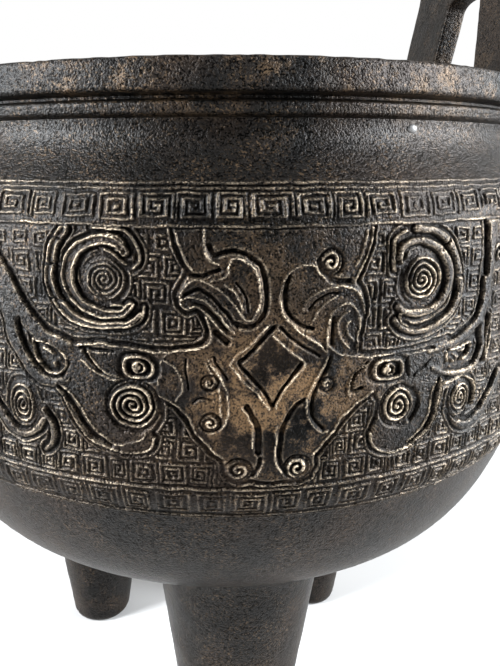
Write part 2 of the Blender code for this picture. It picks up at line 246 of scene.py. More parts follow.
def oldBronze(name, relief=False):
    # Near-black brown bronze with specks and painted shade in its pits; on the band also tan edges (part wear, part
    # painted highlight), painted shade in the hollows, and brown dust
    finish = bronzeFinish
    material = bpy.data.materials.new(name)
    material.use_nodes = True
    tree = material.node_tree
    shader = tree.nodes["Principled BSDF"]
    shop = Shop(tree)
    spot = shop.out(shop.node("ShaderNodeTexCoord"), "Object")

    def noise(pattern):
        scale, detail, rough = finish[pattern]
        sockets = {"Vector": spot, "Scale": scale, "Detail": detail, "Roughness": rough}
        return shop.out(shop.node("ShaderNodeTexNoise", None, sockets), "Fac")

    def painted(label):
        return shop.out(shop.node("ShaderNodeAttribute", {"attribute_name": label}), "Fac")

    clouds, blotches, grains, coarse = noise("clouds"), noise("blotches"), noise("grains"), noise("coarse")
    grit = grains * 0.6 + coarse * 0.4
    # painted shade: the low spots of the grain are painted near black, and made fully metallic below, so the pits
    # look shaded
    dark = (1.0 - grit.between(0.415, 0.495)) * 0.85
    colour = shop.mixed(blotches.between(0.35, 0.7), finish["deep"], finish["skin"])
    colour = shop.mixed(clouds.between(0.46, 0.66) * 0.7, colour, finish["brown"])
    dots = noise("specks").between(0.56, 0.64) * (0.08 + blotches.between(0.42, 0.60) * 0.42)
    colour = shop.mixed(dots, colour, finish["speck"])
    level = shop.out(shop.node("ShaderNodeSeparateXYZ", None, {"Vector": spot}), "Z")
    onRim = level.between(0.2135, 0.2195)
    rusty = onRim * (1.0 - level.between(0.2258, 0.2290) * 0.75)
    rust = rusty * noise("rimRust").between(0.53, 0.60) * grains.between(0.36, 0.56)
    colour = shop.mixed(rust, colour, finish["rust"])
    roughness = finish["roughness"] + (grains - 0.5) * 0.25 + (clouds - 0.5) * 0.12 + rusty * 0.08
    if relief:
        wearAndHighlight, hollowShade, dusty = painted("wearAndHighlight"), painted("hollowShade"), painted("dusty")
        patches = noise("dustPatches")
        colour = shop.mixed(dusty * patches.between(0.46, 0.54) * grains.between(0.30, 0.60), colour, finish["dust"])
        # tan crests, part wear and part painted highlight, broken up by noise
        broken = grains.between(0.33, 0.62) * blotches.between(0.30, 0.62)
        broken = broken * (0.35 + noise("tanBreakup").between(0.36, 0.58) * 0.9)
        colour = shop.mixed((wearAndHighlight * broken * 1.42).clamped(), colour, finish["tan"])
        roughness = roughness + dusty * 0.2
        sooty = dusty * (1.0 - patches.between(0.43, 0.49)) * (1.0 - wearAndHighlight) * 0.62
        dark = dark * (1.0 - wearAndHighlight) * (1.0 - dusty * 0.55)
        # painted shade in the hollows joins the painted pit shade and the real black soot patches
        dark = dark.atLeast(hollowShade * (0.6 + coarse.between(0.36, 0.52) * 0.45)).atLeast(sooty).clamped()
    # painted shade: the dark mask gives near-black colour and full metallic, which also cuts reflection in pits and
    # hollows; the soot patches share it
    colour = shop.mixed(dark, colour, finish["pitShade"])
    metal = finish["metallic"] + dark * (1.0 - finish["metallic"])
    height = grit + onRim * noise("rimDents") * finish["rimLumps"]
    bump = shop.node("ShaderNodeBump", None, {"Strength": 1.0, "Distance": finish["bumpDepth"], "Height": height})
    shader.inputs["Specular IOR Level"].default_value = finish["shine"]
    shader.inputs["Specular Tint"].default_value = (*finish["tint"], 1.0)
    tree.links.new(colour.socket, shader.inputs["Base Color"])
    tree.links.new(metal.socket, shader.inputs["Metallic"])
    tree.links.new(roughness.clamped().socket, shader.inputs["Roughness"])
    tree.links.new(bump.outputs["Normal"], shader.inputs["Normal"])
    return material


print("materials")
plainBronze = oldBronze("plainBronze")
reliefBronze = oldBronze("reliefBronze", relief=True)
# painted highlight: the casting bead gets a light grey colour in place of its bright glint
beadHighlightBronze = bpy.data.materials.new("beadHighlightBronze")
beadHighlightBronze.use_nodes = True
beadHighlightShader = beadHighlightBronze.node_tree.nodes["Principled BSDF"]
beadHighlightShader.inputs["Base Color"].default_value = (*bronzeFinish["beadHighlightGrey"], 1.0)
beadHighlightShader.inputs["Roughness"].default_value = bronzeFinish["beadRoughness"]

# Radius and height of points in millimetres
bowl = {
    "underside": 81.0,
    "bandBottom": 128.5,
    "bandTop": 202.5,
    "rimTop": 226.6,
    "underPoints": ((0.0, 81.0), (75.0, 81.0), (92.5, 90.5), (103.2, 128.5)),
    "wallPoints": [(103.2, 128.5), (106.6, 137.9), (107.0, 165.4), (106.2, 192.9), (103.2, 202.5)],
    "neckPoints": [(103.2, 202.5), (100.3, 205.6), (97.7, 208.9), (96.3, 212.0), (96.3, 214.9)],
    "lipPoints": [
        (97.4, 215.2), (98.1, 215.7), (98.3, 216.1), (98.25, 216.5), (98.4, 216.9), (98.45, 217.6), (98.1, 218.1),
        (96.8, 218.35), (96.3, 218.7), (96.3, 219.2), (97.0, 219.6), (99.3, 219.8), (99.85, 220.2), (100.0, 220.8),
        (100.0, 225.8), (99.8, 226.3), (99.3, 226.6), (86.8, 226.6), (86.2, 226.3), (86.0, 225.8), (86.0, 219.9),
        (86.4, 219.5), (92.0, 209.4),
    ],
    "turns": 384,
    "inlay": 2.0,  # how far the wall behind the band's panels is set in
    "wall": 4.0,
    "pitting": 0.10,
    "lipDents": 0.34,
    "topDents": 0.20,
}


def smoothLine(points, step):
    points = np.array(points, float)
    before = np.vstack([2 * points[0] - points[1], points[:-1]])
    after = np.vstack([points[1:], 2 * points[-1] - points[-2]])
    line = []
    for i in range(len(points) - 1):
        p0, p1, p2, p3 = before[i], points[i], points[i + 1], after[i + 1]
        count = max(1, int(np.ceil(np.linalg.norm(p2 - p1) / step)))
        t = np.linspace(0.0, 1.0, count, endpoint=False)[:, None]
        line.append(
            p1 + (p2 - p0) * t / 2 + (2 * p0 - 5 * p1 + 4 * p2 - p3) * t**2 / 2
            + (3 * p1 - p0 - 3 * p2 + p3) * t**3 / 2
        )
    line.append(points[-1:])
    return np.vstack(line)


def straightLine(points, step):
    points = np.array(points, float)
    line = []
    for start, end in zip(points, points[1:]):
        count = max(1, int(np.ceil(np.linalg.norm(end - start) / step)))
        line.append(start + (end - start) * np.linspace(0.0, 1.0, count, endpoint=False)[:, None])
    line.append(points[-1:])
    return np.vstack(line)


wallLine = smoothLine(bowl["wallPoints"], 0.5)


def wallRadius(height):
    return np.interp(height, wallLine[:, 1], wallLine[:, 0])


def bezier(a, b, c, d, count):
    t = np.linspace(0.0, 1.0, count)[:, None]
    a, b, c, d = (np.array(p, float) for p in (a, b, c, d))
    return a * (1 - t) ** 3 + 3 * b * (1 - t) ** 2 * t + 3 * c * (1 - t) * t**2 + d * t**3


underLine = bezier(*bowl["underPoints"], 48)


def undersideHeight(radius):
    return np.interp(radius, underLine[:, 0], underLine[:, 1])


def movedIn(line, distance):
    # To the left of the line is the bowl's inside
    along = np.gradient(line, axis=0)
    along /= np.linalg.norm(along, axis=1)[:, None]
    moved = line + np.stack([-along[:, 1], along[:, 0]], axis=1) * distance
    moved[0, 0] = 0.0
    return moved


def valueNoise(x, y, size, seed):
    # Smooth random numbers between -1 and 1 in lumps of one size
    rng = np.random.default_rng(seed)
    table = rng.uniform(-1.0, 1.0, (256, 256))
    gx, gy = x / size, y / size
    ix, iy = np.floor(gx).astype(int), np.floor(gy).astype(int)
    fx, fy = gx - ix, gy - iy
    fx, fy = fx * fx * (3 - 2 * fx), fy * fy * (3 - 2 * fy)

    def at(i, j):
        return table[np.mod(i, 256), np.mod(j, 256)]

    low = at(ix, iy) * (1 - fx) + at(ix + 1, iy) * fx
    high = at(ix, iy + 1) * (1 - fx) + at(ix + 1, iy + 1) * fx
    return low * (1 - fy) + high * fy


def spun(profile, turns, merge):
    # A closed round shape from the radius and height of its points
    mesh = bmesh.new()
    line = [mesh.verts.new((0.0, -r, z)) for r, z in profile]
    edges = [mesh.edges.new(pair) for pair in zip(line, line[1:])]
    bmesh.ops.spin(
        mesh, geom=line + edges, cent=(0, 0, 0), axis=(0, 0, 1), dvec=(0, 0, 0),
        angle=2 * pi, steps=turns, use_merge=True,
    )
    bmesh.ops.remove_doubles(mesh, verts=mesh.verts, dist=merge)
    bmesh.ops.recalc_face_normals(mesh, faces=mesh.faces)
    return mesh


def corners(data):
    flat = np.empty(len(data.vertices) * 3)
    data.vertices.foreach_get("co", flat)
    return flat.reshape(-1, 3)


def setCorners(data, places):
    data.vertices.foreach_set("co", np.ascontiguousarray(places, dtype=float).ravel())
    data.update()


print("bowl")
recess = wallLine[::12] - np.array([bowl["inlay"], 0.0])
neckLine = smoothLine(bowl["neckPoints"], 0.8)
lipLine = straightLine(bowl["lipPoints"], 0.9)
innerBand = movedIn(np.vstack([underLine[:-1:2], wallLine[::9]]), bowl["wall"])
innerBand = innerBand[innerBand[:, 1] < 205.0][::-1]
profile = np.vstack([underLine[:-1], bowl["wallPoints"][:1], recess, neckLine, lipLine, innerBand])
bodyData = meshData("vesselBody", spun(profile * mm, bowl["turns"], 2e-6))
places = corners(bodyData)
radius = np.hypot(places[:, 0], places[:, 1])
turn = np.arctan2(places[:, 0], -places[:, 1])
around = turn * 100.0 + 400  # along the wall, moved clear of zero
height = places[:, 2] / mm
lump = valueNoise(around, height, 6.0, 11) * 0.5 + valueNoise(around, height, 2.2, 12) * 0.5
bare = np.where((height > bowl["bandTop"] + 1.0) | (height < bowl["bandBottom"] - 1.0), 1.0, 0.0)
onLip = np.clip((height - 219.0) / 2.0, 0.0, 1.0) * (radius > 0.098)
dents = valueNoise(around, height, 3.0, 14) * 0.5 + valueNoise(around, height, 9.0, 15) * 0.5
shift = (-np.abs(lump) * bowl["pitting"] * bare - np.abs(dents) * bowl["lipDents"] * onLip) * mm
onTop = height > 225.0
places[:, 2] -= np.abs(valueNoise(around, radius * 1000, 3.0, 16)) * bowl["topDents"] * mm * onTop
places[:, 0] += np.sin(turn) * shift
places[:, 1] -= np.cos(turn) * shift
setCorners(bodyData, places)
castPiece("vesselBody", bodyData, plainBronze, creases=True)

bead = {"angle": 19.3, "radius": 96.1, "height": 213.0, "size": 1.2, "shape": (1.15, 0.62, 0.75)}  # under the collar
beadMesh = bmesh.new()
bmesh.ops.create_icosphere(beadMesh, subdivisions=3, radius=bead["size"] * mm)
bmesh.ops.scale(beadMesh, vec=bead["shape"], verts=beadMesh.verts)
beadTurn = radians(bead["angle"])
bmesh.ops.rotate(beadMesh, cent=(0, 0, 0), matrix=Matrix.Rotation(beadTurn, 3, "Z"), verts=beadMesh.verts)
beadSpot = (bead["radius"] * sin(beadTurn) * mm, -bead["radius"] * cos(beadTurn) * mm, bead["height"] * mm)
bmesh.ops.translate(beadMesh, vec=beadSpot, verts=beadMesh.verts)
castPiece("castingBead", meshData("castingBead", beadMesh), beadHighlightBronze)

# Points are millimetres: along the wall from a plumb line left of the mask's middle, and above the floor
band = {
    "roundRadius": 106.0,
    "middle": 8.7,
    "faceWidth": 106.0 * 2 * pi / 3,
    "plate": 0.62,
    "form": 1.15,
    "ridge": 0.62,
    "ridgeWidth": 0.58,
    "spiralLine": 1.04,
    "spiralHeight": 0.60,
    "edge": 0.55,
    "top": 1.38,
    "upperRow": (194.6, 200.5, 7.7, -11.4),  # low, high, cell width, offset
    "lowerRow": (130.3, 137.0, 7.9, -7.2),
    "fieldRows": [
        (188.4, 192.9, 5.3, 1.2), (182.9, 188.4, 5.6, -1.6), (177.2, 182.9, 5.9, 0.8), (171.4, 177.2, 5.6, 2.9),
        (165.8, 171.4, 5.4, 0.1), (160.2, 165.8, 5.8, 2.2), (154.8, 160.2, 5.5, -1.1), (149.4, 154.8, 5.7, 1.7),
        (143.9, 149.4, 5.2, 0.4), (138.3, 143.9, 5.6, 2.6),
    ],
    "borderLines": [  # level, half width, height
        (202.05, 0.45, 0.45), (201.0, 0.40, 0.40), (193.75, 0.42, 0.55), (194.35, 0.2, 0.2), (137.55, 0.45, 0.5),
        (129.6, 0.4, 0.4), (128.9, 0.3, 0.35),
    ],
    "smoothForms": (
        "bodyLeft", "outerRidgeLeft", "bodyRight", "branchRight", "clawLeft", "clawTipLeft", "clawRight",
        "hornRight", "scalesRight",
    ),
    "fineGrid": (300, 316),
    "coarseGrid": (296, 152),
    "coarseShare": 1.25,
    "fineEnds": (-62.0, 9.0, 80.0),  # the fine panels reach as far as the photo shows
}
plates = {
    "face": [
        (-10.9, 193.4), (-9.9, 189.5), (-8.5, 186.8), (-7.4, 185.0), (-9.0, 182.8), (-9.9, 180.3), (-9.6, 178.0),
        (-8.0, 176.6), (-5.6, 177.4), (-4.4, 175.4), (-3.6, 173.0), (-4.0, 170.8), (-6.4, 168.9), (-12.0, 168.2),
        (-15.0, 168.2), (-15.4, 160.2), (-14.4, 158.8), (-10.4, 156.5), (-8.2, 153.9), (-6.0, 150.1), (-3.2, 146.7),
        (-0.9, 144.8), (-0.4, 142.0), (0.4, 140.4), (2.4, 139.5), (4.8, 140.1), (6.6, 139.6), (9.8, 139.4),
        (12.4, 139.6), (15.0, 139.4), (17.5, 140.4), (18.5, 142.8), (18.4, 145.0), (20.5, 147.7), (22.5, 150.0),
        (23.7, 152.4), (25.6, 154.3), (27.7, 156.1), (30.8, 158.0), (31.0, 165.6), (27.0, 167.2), (27.4, 171.7),
        (27.8, 175.0), (28.4, 177.2), (27.2, 180.4), (26.0, 182.2), (26.2, 184.6), (27.2, 185.8), (28.7, 189.0),
        (29.5, 193.4),
    ],
    "eyeBandRight": [
        (28.0, 166.8), (36.0, 166.4), (45.0, 167.0), (50.5, 168.0), (50.0, 164.0), (47.0, 160.4), (42.0, 160.0),
        (38.0, 159.6), (34.0, 159.0), (30.2, 157.6), (27.0, 156.0),
    ],
    "eyeBandLeft": [
        (-11.0, 168.6), (-21.0, 169.2), (-31.0, 169.2), (-37.0, 170.2), (-33.0, 164.0), (-28.0, 160.4),
        (-24.0, 161.4), (-19.0, 161.8), (-15.6, 160.6), (-13.6, 158.4), (-11.0, 159.0),
    ],
    "jawRight": [
        (47.0, 166.6), (50.2, 165.6), (49.6, 162.0), (49.4, 158.6), (49.0, 156.4), (48.5, 153.6), (47.9, 151.0),
        (46.9, 148.7), (45.2, 146.4), (42.6, 144.7), (40.0, 143.9), (36.6, 143.3), (34.2, 143.8), (32.1, 145.4),
        (31.0, 147.8), (31.4, 150.2), (32.6, 152.4), (32.8, 156.0), (31.0, 158.0), (34.0, 160.4), (40.0, 162.0),
    ],
    "jawLeft": [
        (-38.4, 168.8), (-33.0, 169.4), (-28.4, 166.0), (-25.6, 161.6), (-25.2, 157.2), (-24.6, 153.0),
        (-21.6, 150.4), (-18.0, 150.3), (-16.0, 151.4), (-15.0, 149.3), (-15.7, 147.0), (-17.9, 145.7),
        (-21.3, 145.4), (-24.5, 145.9), (-27.2, 146.8), (-29.9, 148.8), (-32.0, 151.6), (-33.3, 154.0),
        (-34.9, 157.0), (-36.5, 158.8), (-34.6, 161.8), (-33.2, 164.4), (-34.6, 167.0),
    ],
    "cheekLeft": [
        (-26.0, 162.0), (-26.4, 156.0), (-25.0, 150.8), (-20.0, 150.2), (-15.4, 151.0), (-13.6, 154.0),
        (-13.8, 158.2), (-15.4, 161.0), (-19.0, 162.4), (-23.0, 162.2),
    ],
}
# Wide raised forms: points, then width at the start, the middle and the end
forms = {
    "hornLeft": ([
        (-20.6, 188.6), (-22.0, 190.2), (-24.9, 190.9), (-28.7, 190.1), (-31.6, 187.6), (-32.8, 184.2),
        (-32.4, 181.0), (-30.6, 178.2), (-27.7, 176.4), (-24.1, 175.6), (-21.0, 176.2), (-19.6, 177.8),
    ], (1.9, 2.7, 1.6)),
    "scalesLeft": ([
        (-33.6, 192.6), (-35.9, 189.0), (-36.9, 184.6), (-36.7, 181.0), (-35.4, 177.9), (-32.8, 175.4),
        (-29.6, 173.8), (-25.0, 173.2), (-20.0, 173.8), (-17.4, 176.0),
    ], (2.2, 2.3, 1.0)),
    "bodyLeft": ([
        (-56.0, 193.0), (-53.2, 187.6), (-50.2, 183.2), (-47.6, 179.0), (-45.2, 175.3), (-41.6, 171.6),
        (-37.8, 169.4), (-33.4, 168.2),
    ], (3.6, 4.8, 3.0)),
    "outerRidgeLeft": ([
        (-56.0, 186.0), (-53.4, 182.4), (-50.7, 178.1), (-47.9, 173.2), (-46.9, 168.7), (-44.3, 164.4),
        (-41.6, 161.0), (-37.8, 159.6), (-34.0, 160.6),
    ], (2.8, 3.8, 2.0)),
    "clawLeft": ([
        (-55.0, 154.0), (-52.2, 150.4), (-49.2, 147.4), (-45.4, 146.4), (-42.2, 148.2), (-40.4, 150.6),
    ], (2.2, 2.6, 1.6)),
    "clawTipLeft": ([(-40.4, 152.6), (-38.2, 149.6), (-38.2, 145.8), (-40.4, 143.2)], (1.4, 1.8, 1.0)),
    "hornRight": ([
        (35.6, 187.0), (36.6, 188.9), (39.2, 190.0), (42.4, 189.6), (46.4, 187.5), (48.8, 183.8), (49.0, 180.2),
        (47.3, 176.9), (43.4, 174.8), (38.4, 175.0), (36.0, 176.4),
    ], (1.6, 2.3, 1.6)),
    "scalesRight": ([
        (40.0, 192.6), (45.2, 191.6), (48.9, 188.9), (51.2, 184.8), (52.2, 181.2), (52.4, 178.2), (51.0, 174.6),
        (47.6, 172.0), (42.4, 170.6), (37.6, 171.2), (35.2, 173.4),
    ], (1.9, 2.0, 1.3)),
    "bodyRight": ([
        (45.0, 165.7), (49.0, 166.1), (53.0, 166.9), (57.0, 168.6), (60.2, 171.2), (61.9, 175.0), (62.5, 181.0),
        (63.2, 187.0), (63.0, 193.2),
    ], (1.8, 2.8, 4.4)),
    "branchRight": ([
        (46.0, 161.6), (49.6, 160.0), (53.5, 159.2), (57.5, 159.4), (60.6, 161.0), (62.0, 164.2), (61.6, 168.0),
        (61.0, 171.5),
    ], (1.4, 1.6, 2.2)),
    "leafRight": ([(64.4, 171.4), (64.0, 166.0), (63.6, 160.6)], (0.9, 2.3, 0.9)),
    "clawRight": ([
        (52.8, 150.6), (55.4, 146.9), (59.6, 145.4), (64.1, 147.3), (67.8, 151.6), (71.0, 156.0),
    ], (1.8, 2.6, 2.2)),
}
# Raised lines: points, and their width where it isn't the usual one
ridges = {
    "browLeft1": [(-10.5, 193.0), (-9.6, 189.5), (-8.4, 187.0), (-7.2, 185.4)],
    "browLeft2": [(-4.7, 193.3), (-4.8, 190.5), (-4.5, 188.2), (-3.2, 186.8), (-1.9, 186.4)],
    "commaLeft": [
        (-3.4, 183.0), (-1.3, 183.5), (-0.2, 184.8), (0.2, 186.7), (1.3, 187.5), (2.9, 187.1), (4.6, 185.7),
        (5.8, 183.4), (6.3, 180.4), (6.0, 177.8), (5.0, 175.4),
    ],
    "bladeLeft1": [
        (-9.3, 179.9), (-8.8, 181.4), (-7.4, 182.9), (-5.0, 182.9), (-2.5, 181.7), (0.0, 179.5), (1.8, 177.3),
        (3.5, 175.2), (5.0, 175.2),
    ],
    "commaInner": [(-0.8, 182.4), (0.9, 181.0), (2.2, 179.0), (2.9, 176.8)],
    "bladeLeft2": [(-9.2, 179.2), (-7.2, 179.9), (-5.0, 179.3), (-3.2, 177.6), (-1.0, 175.3), (1.2, 172.6)],
    "bladeLeft3": [
        (-9.3, 178.4), (-8.4, 177.3), (-6.4, 177.8), (-4.6, 176.7), (-2.6, 174.6), (-0.5, 172.4), (1.0, 171.2),
    ],
    "earLeft": [
        (-4.4, 175.6), (-3.3, 173.0), (-3.4, 171.0), (-4.6, 169.6), (-7.0, 168.9), (-11.0, 168.4), (-13.0, 167.2),
    ],
    "eyeLeafLeft": [(-12.9, 166.7), (-10.4, 165.0), (-9.3, 162.8), (-9.1, 160.2), (-10.4, 157.8)],
    "cheekLeft1": [
        (-3.9, 167.3), (-3.0, 165.3), (-1.7, 163.3), (-0.4, 161.0), (0.3, 158.5), (0.3, 155.5), (-0.6, 153.0),
        (-2.2, 151.2), (-4.0, 150.9), (-5.6, 152.2),
    ],
    "cheekLeft2": [(-4.4, 166.4), (-3.3, 164.0), (-2.0, 161.4), (-1.4, 158.5), (-1.4, 154.5)],
    "diamondLeft": [(0.4, 165.6), (3.0, 162.6), (6.0, 159.4), (8.6, 156.2)],
    "diamondRight": [
        (9.0, 171.6), (11.5, 169.4), (14.3, 167.0), (15.7, 165.2), (12.9, 162.0), (11.0, 159.0), (9.8, 156.2),
    ],
    "diamondTop": [(0.4, 165.8), (2.4, 168.4), (5.0, 170.6), (8.2, 174.2)],
    "noseLeft": [(2.8, 156.8), (4.3, 154.4), (5.0, 151.0), (5.2, 147.6)],
    "loopRight": [
        (19.0, 183.3), (17.7, 184.6), (17.0, 185.9), (14.6, 186.1), (12.2, 184.9), (10.9, 182.6), (10.4, 180.0),
        (10.5, 177.6), (11.5, 175.3), (13.6, 173.0), (16.0, 171.2), (18.5, 169.4), (19.9, 168.2),
    ],
    "leafRight1": [
        (14.9, 176.8), (15.4, 178.6), (17.2, 180.2), (19.9, 181.4), (23.7, 181.5), (26.0, 180.2), (27.4, 178.0),
        (28.0, 175.8),
    ],
    "leafRight2": [(17.0, 174.8), (18.0, 176.6), (19.5, 178.3), (21.6, 179.6)],
    "earRight": [
        (20.2, 167.8), (19.9, 171.0), (20.1, 174.0), (20.8, 176.2), (22.4, 177.6), (24.6, 177.8), (26.3, 176.2),
        (27.0, 173.5), (26.8, 170.6), (26.7, 167.6),
    ],
    "earInner": [(24.4, 176.4), (22.8, 175.4), (22.0, 173.2), (22.8, 170.8), (24.8, 168.6)],
    "earCore": [(24.8, 174.4), (24.0, 173.4), (24.6, 171.4), (26.0, 169.8)],
    "lidRight": [(20.3, 169.4), (22.0, 168.0), (24.6, 166.9), (29.8, 166.2), (36.0, 166.0)],
    "cheekRight": [
        (20.6, 167.2), (19.8, 165.4), (18.3, 163.0), (17.0, 160.2), (16.4, 157.4), (16.5, 154.2), (17.6, 151.7),
        (19.6, 150.3), (21.2, 150.6),
    ],
    "browRight1": [(28.0, 192.8), (27.5, 190.3), (26.4, 187.3), (25.4, 185.6)],
    "browRight2": [(29.3, 193.2), (28.4, 189.0), (26.9, 185.5), (25.6, 183.1)],
    "wingLeft": [(-13.8, 158.8), (-10.2, 156.8), (-7.9, 154.1), (-5.7, 150.4), (-3.0, 147.0), (-0.9, 145.3)],
    "wingRight": [
        (30.6, 158.4), (27.5, 156.5), (25.3, 154.6), (23.3, 152.7), (22.2, 150.3), (19.9, 147.8), (17.8, 145.2),
    ],
    "wingRightEdge": [(10.2, 152.4), (9.9, 148.0), (10.0, 144.2), (11.4, 141.4)],
    "eyeLeafLeft2": [(-14.2, 161.2), (-14.2, 164.4), (-13.4, 166.6)],
    "eyeLeafRight": [(25.6, 157.6), (25.2, 160.4), (26.0, 162.6), (27.6, 164.2), (29.6, 164.9)],
    "lidLeft": [(-31.0, 168.9), (-26.0, 169.3), (-21.0, 169.0), (-15.0, 168.4), (-12.0, 168.2)],
    "eyeLeafLeft3": [(-28.8, 167.6), (-27.2, 165.2), (-25.0, 163.1), (-22.4, 162.5)],
    "eyeLeafLeft4": [(-30.2, 165.6), (-27.7, 163.4), (-25.0, 162.0), (-22.6, 161.8)],
    "hornLine": [(34.6, 184.0), (34.4, 187.6), (34.6, 190.6), (37.2, 192.4)],
    "dropLeft": [
        (-42.0, 168.8), (-39.5, 168.6), (-36.5, 167.7), (-34.5, 166.3), (-33.8, 164.7), (-34.5, 162.9),
        (-36.3, 161.8), (-38.6, 162.2), (-40.6, 164.3), (-41.7, 166.5), (-42.0, 168.8),
    ],
    "dropLeafLeft": [(-39.4, 167.3), (-38.0, 166.7), (-36.8, 166.0)],
    "dropRight": [(49.7, 164.7), (50.2, 162.6), (51.8, 160.9)],
    "dropLeafRight": [(51.0, 165.1), (54.2, 165.3), (57.4, 166.0), (57.0, 163.8), (54.9, 162.1)],
    "foreheadTop": [(-4.7, 193.5), (5.0, 193.6), (15.0, 193.5), (28.6, 193.3)],
    "jawLeft1": [
        (-36.5, 159.5), (-33.8, 158.4), (-31.3, 155.9), (-29.9, 153.6), (-28.6, 151.1), (-26.8, 149.3),
        (-24.7, 147.9), (-22.7, 147.2), (-20.0, 147.7), (-17.2, 149.3), (-16.9, 150.6),
    ],
    "jawLeft2": [
        (-36.7, 158.4), (-34.9, 157.0), (-33.3, 154.0), (-32.0, 151.6), (-29.9, 148.8), (-27.2, 146.8),
        (-24.5, 145.9), (-21.3, 145.4), (-17.9, 145.7), (-15.7, 147.0), (-15.0, 149.3),
    ],
    "jawRight1": [
        (47.8, 158.3), (46.2, 156.2), (45.9, 152.7), (45.4, 150.3), (44.1, 147.9), (41.9, 146.3), (40.1, 145.3),
    ],
    "jawRight2": [
        (49.3, 158.4), (49.1, 157.0), (48.6, 154.1), (48.1, 151.4), (47.3, 149.3), (45.7, 146.9), (43.0, 145.3),
        (40.9, 144.2), (37.9, 143.4), (35.3, 143.7), (32.6, 145.0), (31.3, 146.9), (31.0, 149.0),
    ],
    "hookLeftTop": [(-24.0, 192.1), (-22.6, 191.8), (-21.3, 191.3), (-20.6, 190.4), (-21.1, 189.2), (-22.4, 188.9)],
    "hookLeftFoot": [(-23.6, 177.4), (-21.6, 177.7), (-20.4, 176.8), (-20.6, 175.4), (-22.0, 174.9)],
    "tongueLeft": [
        (-27.7, 193.2), (-23.6, 193.1), (-20.2, 192.6), (-18.4, 190.0), (-17.7, 188.1), (-17.6, 186.4),
        (-18.9, 185.2),
    ],
    "tipLeft": [(-21.3, 172.9), (-19.1, 173.5), (-17.2, 175.0), (-16.8, 177.5)],
    "innerHornLeft": [(-24.7, 188.9), (-22.5, 187.8), (-20.2, 186.1)],
    "hookRightTop": [(36.2, 185.6), (36.0, 187.6), (36.4, 189.4), (37.8, 189.9)],
    "hookRightFoot": [(37.6, 175.4), (36.4, 174.6), (36.6, 173.0), (38.4, 171.8)],
    "nestRight1": [(50.0, 157.2), (55.0, 158.0), (58.8, 157.0), (60.8, 153.8), (60.2, 150.4)],
}
